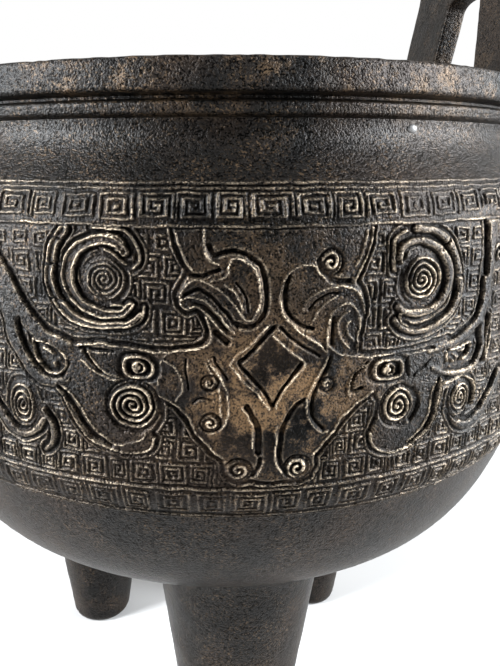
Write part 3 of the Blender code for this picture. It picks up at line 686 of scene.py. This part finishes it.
# Cut lines: points, width
grooves = {
    "forehead": ([(-7.6, 184.3), (-5.5, 184.0), (-3.6, 184.6), (-1.8, 185.3)], 1.2),
    "aboveComma": ([
        (-3.9, 190.0), (-3.0, 188.0), (-0.8, 188.5), (2.0, 188.8), (5.0, 187.2), (6.9, 184.2), (7.6, 180.4),
        (7.2, 177.0), (5.6, 174.2), (3.4, 173.8), (1.6, 174.6),
    ], 1.25),
    "commaCore": ([(1.3, 182.9), (3.1, 180.4), (3.9, 177.0)], 0.7),
    "blade1": ([(-8.4, 180.2), (-6.0, 181.3), (-3.9, 180.2), (-1.4, 177.6), (0.4, 175.6), (2.0, 173.7)], 0.9),
    "blade2": ([(-6.6, 178.7), (-4.6, 177.9), (-2.2, 175.6), (0.2, 173.0)], 0.5),
    "underBlade": ([(-2.4, 172.6), (-1.0, 171.3), (-0.2, 170.4)], 1.5),
    "eyeLeaf": ([(-8.6, 166.8), (-8.2, 163.4), (-7.8, 160.4)], 0.6),
    "cheekLeft": ([(-2.6, 167.6), (-1.8, 165.2), (-0.2, 162.8)], 0.7),
    "diamond": ([
        (9.3, 173.6), (6.4, 170.6), (3.6, 167.4), (2.2, 166.0), (5.0, 162.8), (8.0, 159.2), (9.6, 157.0),
        (11.0, 160.0), (13.4, 163.4), (15.2, 166.0),
    ], 1.1),
    "diamondUpper": ([(10.4, 173.4), (13.0, 171.0), (16.0, 168.8), (18.8, 167.0)], 0.9),
    "noseBlack1": ([(3.9, 156.6), (5.6, 153.4), (6.4, 150.2), (6.5, 146.4)], 1.7),
    "noseBlack2": ([(6.9, 145.0), (6.3, 142.8), (5.4, 141.2)], 1.2),
    "wingRight": ([
        (16.2, 157.8), (13.8, 156.3), (12.1, 153.6), (11.1, 150.6), (10.8, 147.0), (11.0, 144.0), (12.3, 141.9),
    ], 1.15),
    "loop": ([(12.0, 184.0), (11.3, 181.0), (11.4, 178.0), (12.8, 175.4), (15.0, 173.7), (17.0, 173.0)], 1.1),
    "forehead2": ([(17.8, 186.8), (18.8, 184.6), (20.4, 183.1), (22.4, 182.6), (24.6, 182.7)], 1.3),
    "leafRight": ([(16.2, 177.0), (17.6, 178.9), (19.9, 180.2), (22.0, 180.3)], 0.6),
    "earGroove": ([(21.1, 169.6), (21.0, 172.2), (21.2, 175.0)], 0.9),
    "cheekRight": ([
        (21.0, 167.0), (20.4, 164.8), (18.9, 162.0), (17.8, 159.0), (17.4, 156.0), (18.0, 153.0), (19.8, 151.2),
    ], 0.95),
    "eyeCornerLeft": ([(-29.8, 168.2), (-27.9, 165.3), (-25.6, 163.2)], 0.9),
    "lidLeft": ([(-30.4, 168.4), (-26.0, 168.0), (-23.4, 167.9)], 0.9),
    "eyeCornerRight": ([(29.2, 165.0), (27.2, 163.6), (25.9, 161.4), (26.1, 159.0), (28.4, 159.2)], 1.0),
    "eyeCornerRight2": ([(39.4, 165.2), (39.2, 163.0), (39.6, 160.8)], 0.55),
    "eyeCornerRight3": ([(40.9, 160.6), (43.2, 162.0), (45.4, 163.6)], 0.5),
    "lidRight": ([(30.5, 166.0), (36.0, 166.0), (42.0, 166.2), (46.0, 166.4)], 0.6),
    "jawLeft": ([
        (-36.0, 158.9), (-34.2, 157.6), (-32.3, 155.0), (-31.0, 152.6), (-29.3, 150.0), (-27.0, 148.1),
        (-24.4, 146.9),
    ], 1.2),
    "jawRight": ([
        (48.6, 158.6), (47.5, 156.2), (47.1, 153.0), (46.7, 150.4), (45.4, 148.0), (43.0, 146.2), (40.6, 145.0),
    ], 1.5),
    "cheekRight2": ([(41.0, 157.6), (42.2, 155.4), (42.2, 152.8), (40.8, 150.6)], 1.5),
    "dropLeft1": ([(-40.9, 167.9), (-39.8, 165.6), (-38.6, 163.8)], 1.5),
    "dropLeft2": ([(-38.2, 168.2), (-36.4, 167.0), (-35.0, 165.4), (-34.8, 164.0)], 1.3),
    "dropLeft3": ([(-38.6, 165.2), (-37.2, 164.6)], 1.4),
    "dropRight1": ([(59.2, 168.2), (58.9, 165.4), (57.6, 162.8), (55.6, 161.4), (53.4, 161.2)], 1.9),
    "dropRight2": ([(50.6, 164.2), (51.0, 162.4), (52.6, 161.2)], 1.1),
    "dropRight3": ([(53.2, 164.0), (55.0, 163.4)], 1.0),
    "mouth": ([(-7.0, 157.4), (-5.4, 158.6), (-3.2, 158.0)], 0.5),
    "ribLeft": ([(-24.0, 178.6), (-28.2, 179.8), (-30.2, 183.4), (-29.2, 187.0), (-25.6, 188.6)], 0.8),
    "ribRight": ([(38.6, 187.6), (43.6, 187.8), (46.6, 184.0), (46.6, 180.2), (43.6, 177.0), (39.0, 177.0)], 0.8),
    "bodyLeft": ([(-45.2, 173.0), (-44.4, 168.8), (-42.2, 164.6), (-38.9, 161.6)], 1.1),
    "bodyRight": ([(61.0, 192.0), (61.4, 186.4), (61.3, 181.0)], 1.0),
    "scaleLeft1": ([(-38.8, 185.6), (-35.0, 185.4)], 0.6),
    "scaleLeft2": ([(-37.6, 178.2), (-33.8, 177.9)], 0.6),
    "scaleLeft3": ([(-37.0, 191.2), (-33.6, 190.4)], 0.6),
    "scaleRight1": ([(46.6, 187.6), (48.6, 190.2)], 0.6),
    "scaleRight2": ([(50.4, 182.0), (54.0, 181.8)], 0.6),
}
# Round bosses with a spiral line: middle, half width, half height, turns, hand, strength
spirals = {
    "hornLeft": (-24.9, 182.8, 4.5, 4.6, 4.4, 1, 0.55),
    "hornRight": (41.6, 181.8, 5.2, 5.3, 4.4, -1, 0.95),
    "cheekLeft": (-19.4, 156.4, 5.3, 5.2, 4.1, 1, 1.1),
    "cheekRight": (37.4, 154.2, 4.0, 4.3, 3.1, -1, 0.95),
    "snoutLeft": (2.3, 142.3, 2.5, 2.4, 1.8, -1, 0.7),
    "snoutRight": (14.8, 142.6, 2.6, 2.5, 1.8, 1, 0.9),
    "curlLeft": (-3.4, 153.2, 1.7, 1.7, 1.4, 1, 0.8),
    "curlLeft2": (-3.6, 161.8, 1.4, 1.4, 1.2, 1, 0.7),
    "curlRight": (20.4, 160.8, 1.3, 1.3, 1.0, -1, 0.9),
    "browCurl": (20.4, 186.4, 2.2, 2.2, 1.6, 1, 0.9),
    "ovalLeft": (-45.8, 153.3, 3.8, 5.4, 3.9, 1, 0.8),
    "ovalRight": (55.6, 152.8, 3.4, 4.4, 3.6, -1, 0.8),
    "tipRight": (66.2, 185.4, 2.2, 2.6, 1.6, 1, 0.9),
    "dropBossLeft": (-36.8, 163.5, 0.9, 0.9, 0.2, 1, 1.0),
    "dropBossRight": (51.8, 162.3, 0.8, 0.8, 0.2, 1, 1.0),
}
eyes = {"left": (-18.1, 164.8, 3.4, 2.5), "right": (34.5, 162.8, 3.9, 2.4)}
# Parts past the photo's edges, the same on both sides of the mask, measured from its middle
tailForms = {
    "tail": ([
        (66.4, 186.0), (67.6, 174.0), (73.4, 166.4), (81.6, 164.9), (89.2, 171.3), (90.0, 180.5), (82.6, 185.5),
        (77.0, 181.6),
    ], (3.0, 5.0, 2.4)),
    "tailFoot": ([(68.0, 157.0), (72.0, 148.5), (80.0, 146.3), (88.4, 150.5), (93.0, 158.9)], (2.6, 4.4, 2.2)),
    "tailPlume": ([(98.2, 188.0), (101.0, 174.0), (97.4, 162.0)], (2.4, 4.0, 2.0)),
    "seamLeaf": ([(107.4, 185.0), (106.4, 167.0), (107.4, 149.0)], (2.0, 3.8, 2.0)),
}
tailSpirals = {"tail": (82.0, 175.6, 3.6, 3.6, 3.0, 1, 0.8)}


def boxAround(u, z, line, margin):
    low, high = line.min(axis=0) - margin, line.max(axis=0) + margin
    return (u > low[0]) & (u < high[0]) & (z > low[1]) & (z < high[1])


def fromSegment(x, y, start, run):
    # Share along a segment, and distance from it
    along = np.clip(((x - start[0]) * run[0] + (y - start[1]) * run[1]) / (run @ run), 0.0, 1.0)
    return along, np.hypot(x - start[0] - along * run[0], y - start[1] - along * run[1])


def nearness(u, z, points, widths, reach):
    # Half width less the distance to a smooth line, -reach where it is far
    line = smoothLine(points, 0.7)
    if not isinstance(widths, tuple):
        widths = (widths,) * 3
    half = np.interp(np.linspace(0.0, 1.0, len(line)), (0.0, 0.5, 1.0), widths) / 2
    best = np.full(u.shape, -reach)
    near = boxAround(u, z, line, reach + half.max())
    if not near.any():
        return best
    x, y = u[near], z[near]
    found = np.full(x.shape, -reach)
    for i in range(len(line) - 1):
        along, away = fromSegment(x, y, line[i], line[i + 1] - line[i])
        found = np.maximum(found, half[i] + (half[i + 1] - half[i]) * along - away)
    best[near] = found
    return best


def insidePlate(u, z, outline, reach):
    # Distance to a closed outline, positive inside
    line = np.array(outline + outline[:1], float)
    best = np.full(u.shape, -reach)
    near = boxAround(u, z, line, reach)
    if not near.any():
        return best
    x, y = u[near], z[near]
    away = np.full(x.shape, 99.0)
    inner = np.zeros(x.shape, bool)
    for start, end in zip(line, line[1:]):
        run = end - start
        away = np.minimum(away, fromSegment(x, y, start, run)[1])
        crosses = (start[1] <= y) != (end[1] <= y)
        side = start[0] + (y - start[1]) / (run[1] if run[1] else 1e-9) * run[0]
        inner ^= crosses & (x < side)
    best[near] = np.maximum(np.where(inner, away, -away), -reach)
    return best


def eased(value, low, high):
    t = np.clip((value - low) / (high - low), 0.0, 1.0)
    return t * t * (3 - 2 * t)


def lineWave(phase):
    # A row of narrow ridges, one for each whole number of the phase
    return 0.5 + 0.5 * np.tanh(2.2 * (np.cos(2 * pi * phase) - 0.25))


def squareSpiral(x, y, line, hand):
    # A squared spiral line round the middle of a cell
    x = x * hand
    q = line / 4
    right = (x > -y + q) & (y < x + q)
    top = (y >= x + q) & (-x < y + q)
    left = (-x >= y + q) & (-y < -x + q)
    value = np.where(right, x, np.where(top, y - q, np.where(left, -x - 2 * q, -y - 3 * q)))
    return lineWave(value / line)


def cellRow(u, z, low, high, width, offset, line, seed):
    tall = high - low
    count = int(np.floor(band["faceWidth"] / width))
    width = band["faceWidth"] / count
    rng = np.random.default_rng(seed)
    sides = np.sort(offset + np.arange(count) * width + rng.uniform(-0.13, 0.13, count) * width)
    hands = rng.choice([-1, 1], count)
    place = np.mod(u - sides[0], band["faceWidth"]) + sides[0]
    which = np.clip(np.searchsorted(sides, place, side="right") - 1, 0, count - 1)
    start = sides[which]
    end = np.append(sides[1:], sides[0] + band["faceWidth"])[which]
    wide = end - start
    x = (place - (start + end) / 2) * tall / wide
    y = z - (low + high) / 2
    pitch = (line * rng.uniform(0.92, 1.12, count))[which]
    rings = np.maximum(np.abs(x) * 0.96, np.abs(y))  # some cells have closed squares instead of a spiral
    closed = (rng.uniform(0.0, 1.0, count) < 0.3)[which]
    wave = np.where(closed, lineWave((rings - 0.15) / pitch), squareSpiral(x, y, pitch, hands[which]))
    side = np.minimum(wide / 2 - np.abs(place - (start + end) / 2), tall / 2 - np.abs(y))
    return np.where((z > low) & (z < high), wave * eased(side, 0.05, 0.42), 0.0)


def bandHeights(u, z, line):
    u = u + band["middle"]
    wobbleU = valueNoise(u, z, 3.1, 21) * 0.22 + valueNoise(u, z, 1.1, 22) * 0.10
    wobbleZ = valueNoise(u, z, 2.9, 23) * 0.22 + valueNoise(u, z, 1.2, 24) * 0.10
    u = u + wobbleU
    z = z + wobbleZ
    half = band["faceWidth"] / 2
    away = np.mod(u - band["middle"] + half, 2 * half) - half
    u = away + band["middle"]
    ground = np.zeros(u.shape)
    ground += cellRow(u, z, *band["upperRow"], line, 41)
    ground += cellRow(u, z, *band["lowerRow"], line * 1.05, 42)
    for i, row in enumerate(band["fieldRows"]):
        ground += cellRow(u, z, *row, line, 50 + i)
    reach = 3.0
    raised = np.maximum.reduce([insidePlate(u, z, outline, reach) for outline in plates.values()])
    smooth = np.full(u.shape, -reach)
    edged = np.full(u.shape, -reach)
    for name, (points, widths) in forms.items():
        found = nearness(u, z, points, widths, reach)
        if name in band["smoothForms"]:
            smooth = np.maximum(smooth, found)
        else:
            edged = np.maximum(edged, found)
    for points, widths in tailForms.values():
        edged = np.maximum(edged, nearness(np.abs(away), z, points, widths, reach))
    ribbons = np.maximum(smooth, edged)
    bosses = np.full(u.shape, -reach)
    bossWave = np.zeros(u.shape)
    allSpirals = [(u, item) for item in spirals.values()] + [(np.abs(away), item) for item in tailSpirals.values()]
    for across, (cu, cz, ru, rz, turns, hand, strength) in allSpirals:
        x, y = (across - cu) / ru, (z - cz) / rz
        rad = np.hypot(x, y)
        inner = (1.0 - rad) * min(ru, rz)
        near = inner > -reach
        bosses[near] = np.maximum(bosses[near], inner[near])
        spin = np.arctan2(y, x) * hand / (2 * pi)
        wave = lineWave(rad * turns - spin)
        bossWave = np.where(inner > 0, wave * eased(inner, 0.0, 0.3) * strength, bossWave)
    balls = np.full(u.shape, -reach)
    ball = np.zeros(u.shape)
    for cu, cz, ru, rz in eyes.values():
        rad = (np.abs((u - cu) / ru) ** 3 + np.abs((z - cz) / rz) ** 3) ** (1 / 3)
        balls = np.maximum(balls, np.maximum((1.0 - rad) * min(ru, rz), -reach))
        ring = eased(rad, 0.70, 0.80) * (1 - eased(rad, 0.92, 1.02))
        disc = 1 - eased(np.hypot((u - cu) * 0.9, z - cz), 1.15, 1.45)
        bent = [(cu + 0.1, cz + 0.8), (cu + 0.75, cz + 0.35), (cu + 0.75, cz - 0.35), (cu + 0.1, cz - 0.8)]
        crescent = nearness(u, z, bent, 0.5, reach)
        ball = np.maximum(ball, np.maximum(ring * 0.85, disc * (0.95 - 0.8 * eased(crescent, -0.2, 0.2))))
    thin = np.full(u.shape, -reach)
    for points in ridges.values():
        thin = np.maximum(thin, nearness(u, z, points, band["ridgeWidth"], reach))
    cut = np.full(u.shape, -reach)
    for points, width in grooves.values():
        cut = np.maximum(cut, nearness(u, z, points, width, reach))
    anyForm = np.maximum.reduce([raised, ribbons, bosses, balls, thin])
    # squared spirals keep off the forms, with one line running along each form's outline
    contour = lineWave((anyForm + 1.05) / line) * eased(-anyForm, 0.45, 0.75) * (1 - eased(-anyForm, 1.4, 1.6))
    ground = ground * eased(-anyForm, 1.45, 1.75)
    deep = 0.72 + 0.24 * valueNoise(u, z, 9.0, 31) + 0.16 * valueNoise(u, z, 1.3, 32)
    height = np.maximum(ground, contour) * band["spiralHeight"] * deep
    height = np.maximum(height, band["plate"] * eased(raised, -0.15, band["edge"] - 0.15))
    crown = eased(smooth, -0.15, 0.40) * 0.84 + eased(smooth, 0.1, 1.8) * 0.16
    trough = eased(edged, -0.15, 0.22) * (1.0 - 0.5 * eased(edged, 0.32, 0.78))
    height = np.maximum(height, band["form"] * np.maximum(crown, trough))
    height = np.where(bosses > 0, 0.15 + bossWave * 0.8 * eased(bosses, 0.0, 0.4), height)
    ringCut = eased(bosses, -0.9, -0.35) * (1 - eased(bosses, -0.2, 0.05))
    height = height * (1 - 0.85 * ringCut)
    ballCut = eased(balls, -1.0, -0.45) * (1 - eased(balls, -0.15, 0.1))
    height = height * (1 - 0.8 * ballCut)
    height = np.where(balls > 0, ball, height)
    crest = eased(thin, -0.12, 0.36) * (1 - ringCut) * (1 - ballCut)
    height = np.maximum(height, (band["plate"] + band["ridge"]) * crest)
    height = height - (height + 0.05) * eased(cut, -0.12, 0.35) * (1 - crest)
    fieldEdge = eased(z, 137.4, 138.0) * (1 - eased(z, 193.1, 193.5))
    inRows = ((z > 130.2) & (z < 137.1)) | ((z > 194.5) & (z < 200.6))
    rowHeight = band["spiralHeight"] * (0.86 + 0.14 * eased(z, 140.0, 180.0))
    height = np.where(inRows, ground * rowHeight * deep, height * fieldEdge)
    for level, wide, tall in band["borderLines"]:
        height = np.maximum(height, tall * eased(wide - np.abs(z - level), 0.0, 0.3))
    height = height + valueNoise(u, z, 0.7, 33) * 0.05 + valueNoise(u, z, 4.0, 34) * 0.05
    dusty = np.exp(-(((away - 1.0) / 17.0) ** 2) - ((z - 158.0) / 15.0) ** 2) * 1.1
    dusty = np.maximum(dusty, 0.2 * np.exp(-((away / 24.0) ** 2) - ((z - 186.0) / 8.0) ** 2))
    dusty = dusty * eased(anyForm, -1.0, 0.3) + 0.35 * dusty
    # how much of the tan crest colour (part wear, part painted highlight) each spot takes, less on smooth forms
    tanEdgeShare = 1.0 - (0.65 * eased(smooth, 0.1, 0.5) + 0.35 * eased(edged, -0.2, 0.2)) * (1 - crest)
    return np.clip(height, -0.1, band["top"]), dusty, np.clip(tanEdgeShare, 0.2, 1.0)


def blurred(field, size):
    out = field
    for axis in (0, 1):
        first, last = (np.repeat(out.take([end], axis), size, axis) for end in (0, -1))
        padded = np.concatenate([first, out, last], axis)
        total = np.cumsum(padded, axis)
        total = np.concatenate([np.zeros_like(total.take([0], axis)), total], axis)
        length = out.shape[axis]
        window = 2 * size + 1
        out = (total.take(range(window, window + length), axis) - total.take(range(0, length), axis)) / window
    return out


def bandPanel(name, start, end, columns, rows, line):
    # A closed slab of the band between two places along the wall, in millimetres from the mask's middle
    mesh = bmesh.new()
    bmesh.ops.create_grid(mesh, x_segments=columns, y_segments=rows, size=1.0)
    behind = bmesh.ops.create_grid(mesh, x_segments=columns, y_segments=8, size=1.0)["verts"]
    bmesh.ops.translate(mesh, vec=(0.0, 0.0, -1.0), verts=behind)
    for edge in mesh.edges:
        edge.smooth = not edge.is_boundary
    for side in (-1, 1):
        ends = [e for e in mesh.edges if e.is_boundary and all(v.co.y * side > 0.9999 for v in e.verts)]
        bmesh.ops.bridge_loops(mesh, edges=ends)
    bmesh.ops.holes_fill(mesh, edges=[edge for edge in mesh.edges if edge.is_boundary], sides=0)
    bmesh.ops.recalc_face_normals(mesh, faces=mesh.faces)
    data = meshData(name, mesh)
    flat = corners(data)
    low, high = bowl["bandBottom"], bowl["bandTop"]
    u = start + (end - start) * (flat[:, 0] + 1) / 2
    z = low + (high - low) * (flat[:, 1] + 1) / 2
    face = np.flatnonzero(flat[:, 2] > -0.5)
    order = face[np.lexsort((np.round(flat[face, 0], 6), np.round(flat[face, 1], 6)))]
    grid = (rows + 1, columns + 1)
    uu, zz = u[order].reshape(grid), z[order].reshape(grid)
    height, dusty, tanEdgeShare = bandHeights(uu, zz, line)
    step = (end - start) / columns
    wide = max(1, int(round(0.9 / step)))
    relief = height - blurred(height, wide)
    sharp = height - blurred(height, max(1, wide // 2))
    # tan crest marks, part wear and part painted highlight, from how far a spot stands above its blurred
    # surroundings
    wearAndHighlight = np.clip(relief * 1.8 + sharp * 2.6 - 0.36, 0.0, 1.0) * (0.27 + 0.73 * eased(height, 0.45, 1.05))
    wearAndHighlight = wearAndHighlight * tanEdgeShare * (band["spiralLine"] / line) ** 2
    # painted shade in the hollows, from how far a spot lies below its blurred surroundings
    hollowShade = np.clip(-relief * 2.6 - sharp * 1.4 - 0.05, 0.0, 1.0) * (1 - eased(height, 0.3, 0.6) * 0.85)
    angle = (u - 2.1) / band["roundRadius"]
    radius = wallRadius(z) - bowl["inlay"] - 0.1
    radius[order] = (wallRadius(zz) + height * eased(zz, low, low + 0.4) * (1 - eased(zz, high - 0.4, high))).ravel()
    setCorners(data, np.stack([radius * np.sin(angle), -radius * np.cos(angle), z], axis=1) * mm)
    for label, field in (("wearAndHighlight", wearAndHighlight), ("hollowShade", hollowShade), ("dusty", dusty)):
        values = np.zeros(len(flat))
        values[order] = field.ravel()
        layer = data.attributes.new(label, "FLOAT", "POINT")
        layer.data.foreach_set("value", values)
    castPiece(name, data, reliefBronze)


print("mask band")
left, middle, right = band["fineEnds"]
panels = [
    ("bandFrontLeft", left, middle, *band["fineGrid"], 1.0),
    ("bandFrontRight", middle, right, *band["fineGrid"], 1.0),
]
others = (band["faceWidth"] * 3 - right + left) / 4
for i, label in enumerate(("bandSideRight", "bandBackRight", "bandBackLeft", "bandSideLeft")):
    start = right + i * others
    panels.append((label, start, start + others, *band["coarseGrid"], band["coarseShare"]))
for label, start, end, columns, rows, share in panels:
    print("panel", label)
    bandPanel(label, start, end, columns, rows, band["spiralLine"] * share)

leg = {
    "count": 3, "circle": 56.9, "footRadius": 12.45, "taper": 0.1425, "edge": 2.5, "flare": 0.8, "flareHeight": 2.5,
    "intoBowl": 1.5, "lumps": (0.16, 0.07), "steps": 80, "rows": 72,
}
print("legs")


def legPiece(name, turn):
    rows = np.linspace(0.0, 1.0, leg["rows"])
    profile = [(0.0, 0.0), (0.35, 0.0)] + [(1.0, t) for t in rows] + [(0.5, 1.0), (0.0, 1.0)]
    data = meshData(name, spun(profile, leg["steps"], 1e-6))
    unit = corners(data)
    share = np.hypot(unit[:, 0], unit[:, 1])
    around = np.arctan2(unit[:, 0], -unit[:, 1])
    t = unit[:, 2]
    tall = np.full(t.shape, bowl["underside"])
    for _ in range(3):  # the top follows the bowl's underside
        z = t * tall
        low = 1 - np.clip(z / leg["edge"], 0, 1)
        foot = leg["footRadius"] + leg["taper"] * z - leg["edge"] * (1 - np.sqrt(np.clip(1 - low**2, 0, 1))) * 0.9
        radius = (foot + leg["flare"] * np.exp(-(tall - z) / leg["flareHeight"])) * share
        x, y = radius * np.sin(around), -radius * np.cos(around)
        tall = undersideHeight(np.hypot(x, y - leg["circle"])) + leg["intoBowl"]
    z = t * tall
    broad, fine = leg["lumps"]
    spread = around * 14 + 200
    lump = valueNoise(spread + turn * 90, z, 7.0, 61) * broad + valueNoise(spread, z, 2.4, 62) * fine
    lump *= eased(z, 0.5, 4.0) * np.cos(around / 2) ** 2
    radius = radius + (lump - 0.1) * (share > 0.9)
    x, y = radius * np.sin(around), -radius * np.cos(around) - leg["circle"]
    places = np.stack([x * np.cos(turn) - y * np.sin(turn), x * np.sin(turn) + y * np.cos(turn), z], axis=1) * mm
    setCorners(data, places)
    castPiece(name, data, plainBronze, creases=True)


for step, label in enumerate(("legFront", "legRight", "legLeft")):
    legPiece(label, 2 * pi * step / leg["count"])

handle = {
    "circle": 89.2, "footWidth": 89.0, "post": 27.2, "thickness": 7.4, "height": 58.5, "shoulder": 42.0,
    "spring": 32.5, "crownRise": 4.5, "slope": 0.155, "holeSlope": 0.19, "lean": 0.116, "squareness": 2.5,
    "holeSquareness": 2.8, "root": 4.0, "edge": 0.9, "steps": 25, "lumps": 0.14,
}
print("handles")


def arch(halfWidth, spring, top, squareness):
    angles = np.linspace(0.0, pi, handle["steps"])
    x = np.abs(np.cos(angles)) ** (2 / squareness) * np.sign(np.cos(angles))
    y = np.abs(np.sin(angles)) ** (2 / squareness)
    return [(halfWidth * a, spring + (top - spring) * b) for a, b in zip(x, y)]


def handlePiece(name, side):
    h = handle
    outerHalf, innerHalf = h["footWidth"] / 2, h["footWidth"] / 2 - h["post"]

    def run(half, slope, spring, top, squareness):
        foot = half + slope * h["root"]
        return [(foot, -h["root"])] + arch(half - slope * spring, spring, top, squareness) + [(-foot, -h["root"])]

    outer = run(outerHalf, h["slope"], h["shoulder"], h["height"], h["squareness"])
    inner = run(innerHalf, h["holeSlope"], h["spring"], h["spring"] + h["crownRise"], h["holeSquareness"])
    mesh = bmesh.new()
    first = [mesh.verts.new((-h["thickness"] / 2 * mm, y * mm, z * mm)) for y, z in outer]
    second = [mesh.verts.new((-h["thickness"] / 2 * mm, y * mm, z * mm)) for y, z in inner]
    for i in range(len(first) - 1):
        mesh.faces.new((first[i], first[i + 1], second[i + 1], second[i]))
    made = bmesh.ops.extrude_face_region(mesh, geom=list(mesh.faces), use_keep_orig=True)["geom"]
    moved = [item for item in made if isinstance(item, bmesh.types.BMVert)]
    bmesh.ops.translate(mesh, vec=(h["thickness"] * mm, 0.0, 0.0), verts=moved)
    bmesh.ops.recalc_face_normals(mesh, faces=mesh.faces)
    sharp = [edge for edge in mesh.edges if len(edge.link_faces) == 2 and edge.calc_face_angle() > radians(60)]
    bmesh.ops.bevel(mesh, geom=sharp, offset=h["edge"] * mm, affect="EDGES", segments=3, profile=0.5, material=-1)
    long = [edge for edge in mesh.edges if edge.calc_length() > 3.0 * mm]
    for _ in range(4):
        bmesh.ops.subdivide_edges(mesh, edges=long, cuts=1, use_grid_fill=True)
        long = [edge for edge in mesh.edges if edge.calc_length() > 2.2 * mm]
        if not long:
            break
    bmesh.ops.triangulate(mesh, faces=mesh.faces)
    bmesh.ops.recalc_face_normals(mesh, faces=mesh.faces)
    data = meshData(name, mesh)
    places = corners(data)
    normals = np.empty(len(data.vertices) * 3)
    data.vertices.foreach_get("normal", normals)
    across, up = places[:, 1] / mm + 90, places[:, 2] / mm + 40
    lump = valueNoise(across, up, 5.0, 71 + side) * 0.6 + valueNoise(across, up, 2.0, 73 + side) * 0.4 - 0.5
    places = places + normals.reshape(-1, 3) * (lump * h["lumps"] * mm)[:, None]
    tilt = side * h["lean"]
    x = places[:, 0] * np.cos(tilt) + places[:, 2] * np.sin(tilt) + side * h["circle"] * mm
    z = -places[:, 0] * np.sin(tilt) + places[:, 2] * np.cos(tilt) + bowl["rimTop"] * mm
    setCorners(data, np.stack([x, places[:, 1], z], axis=1))
    castPiece(name, data, plainBronze, creases=True)


handlePiece("handleRight", 1)
handlePiece("handleLeft", -1)
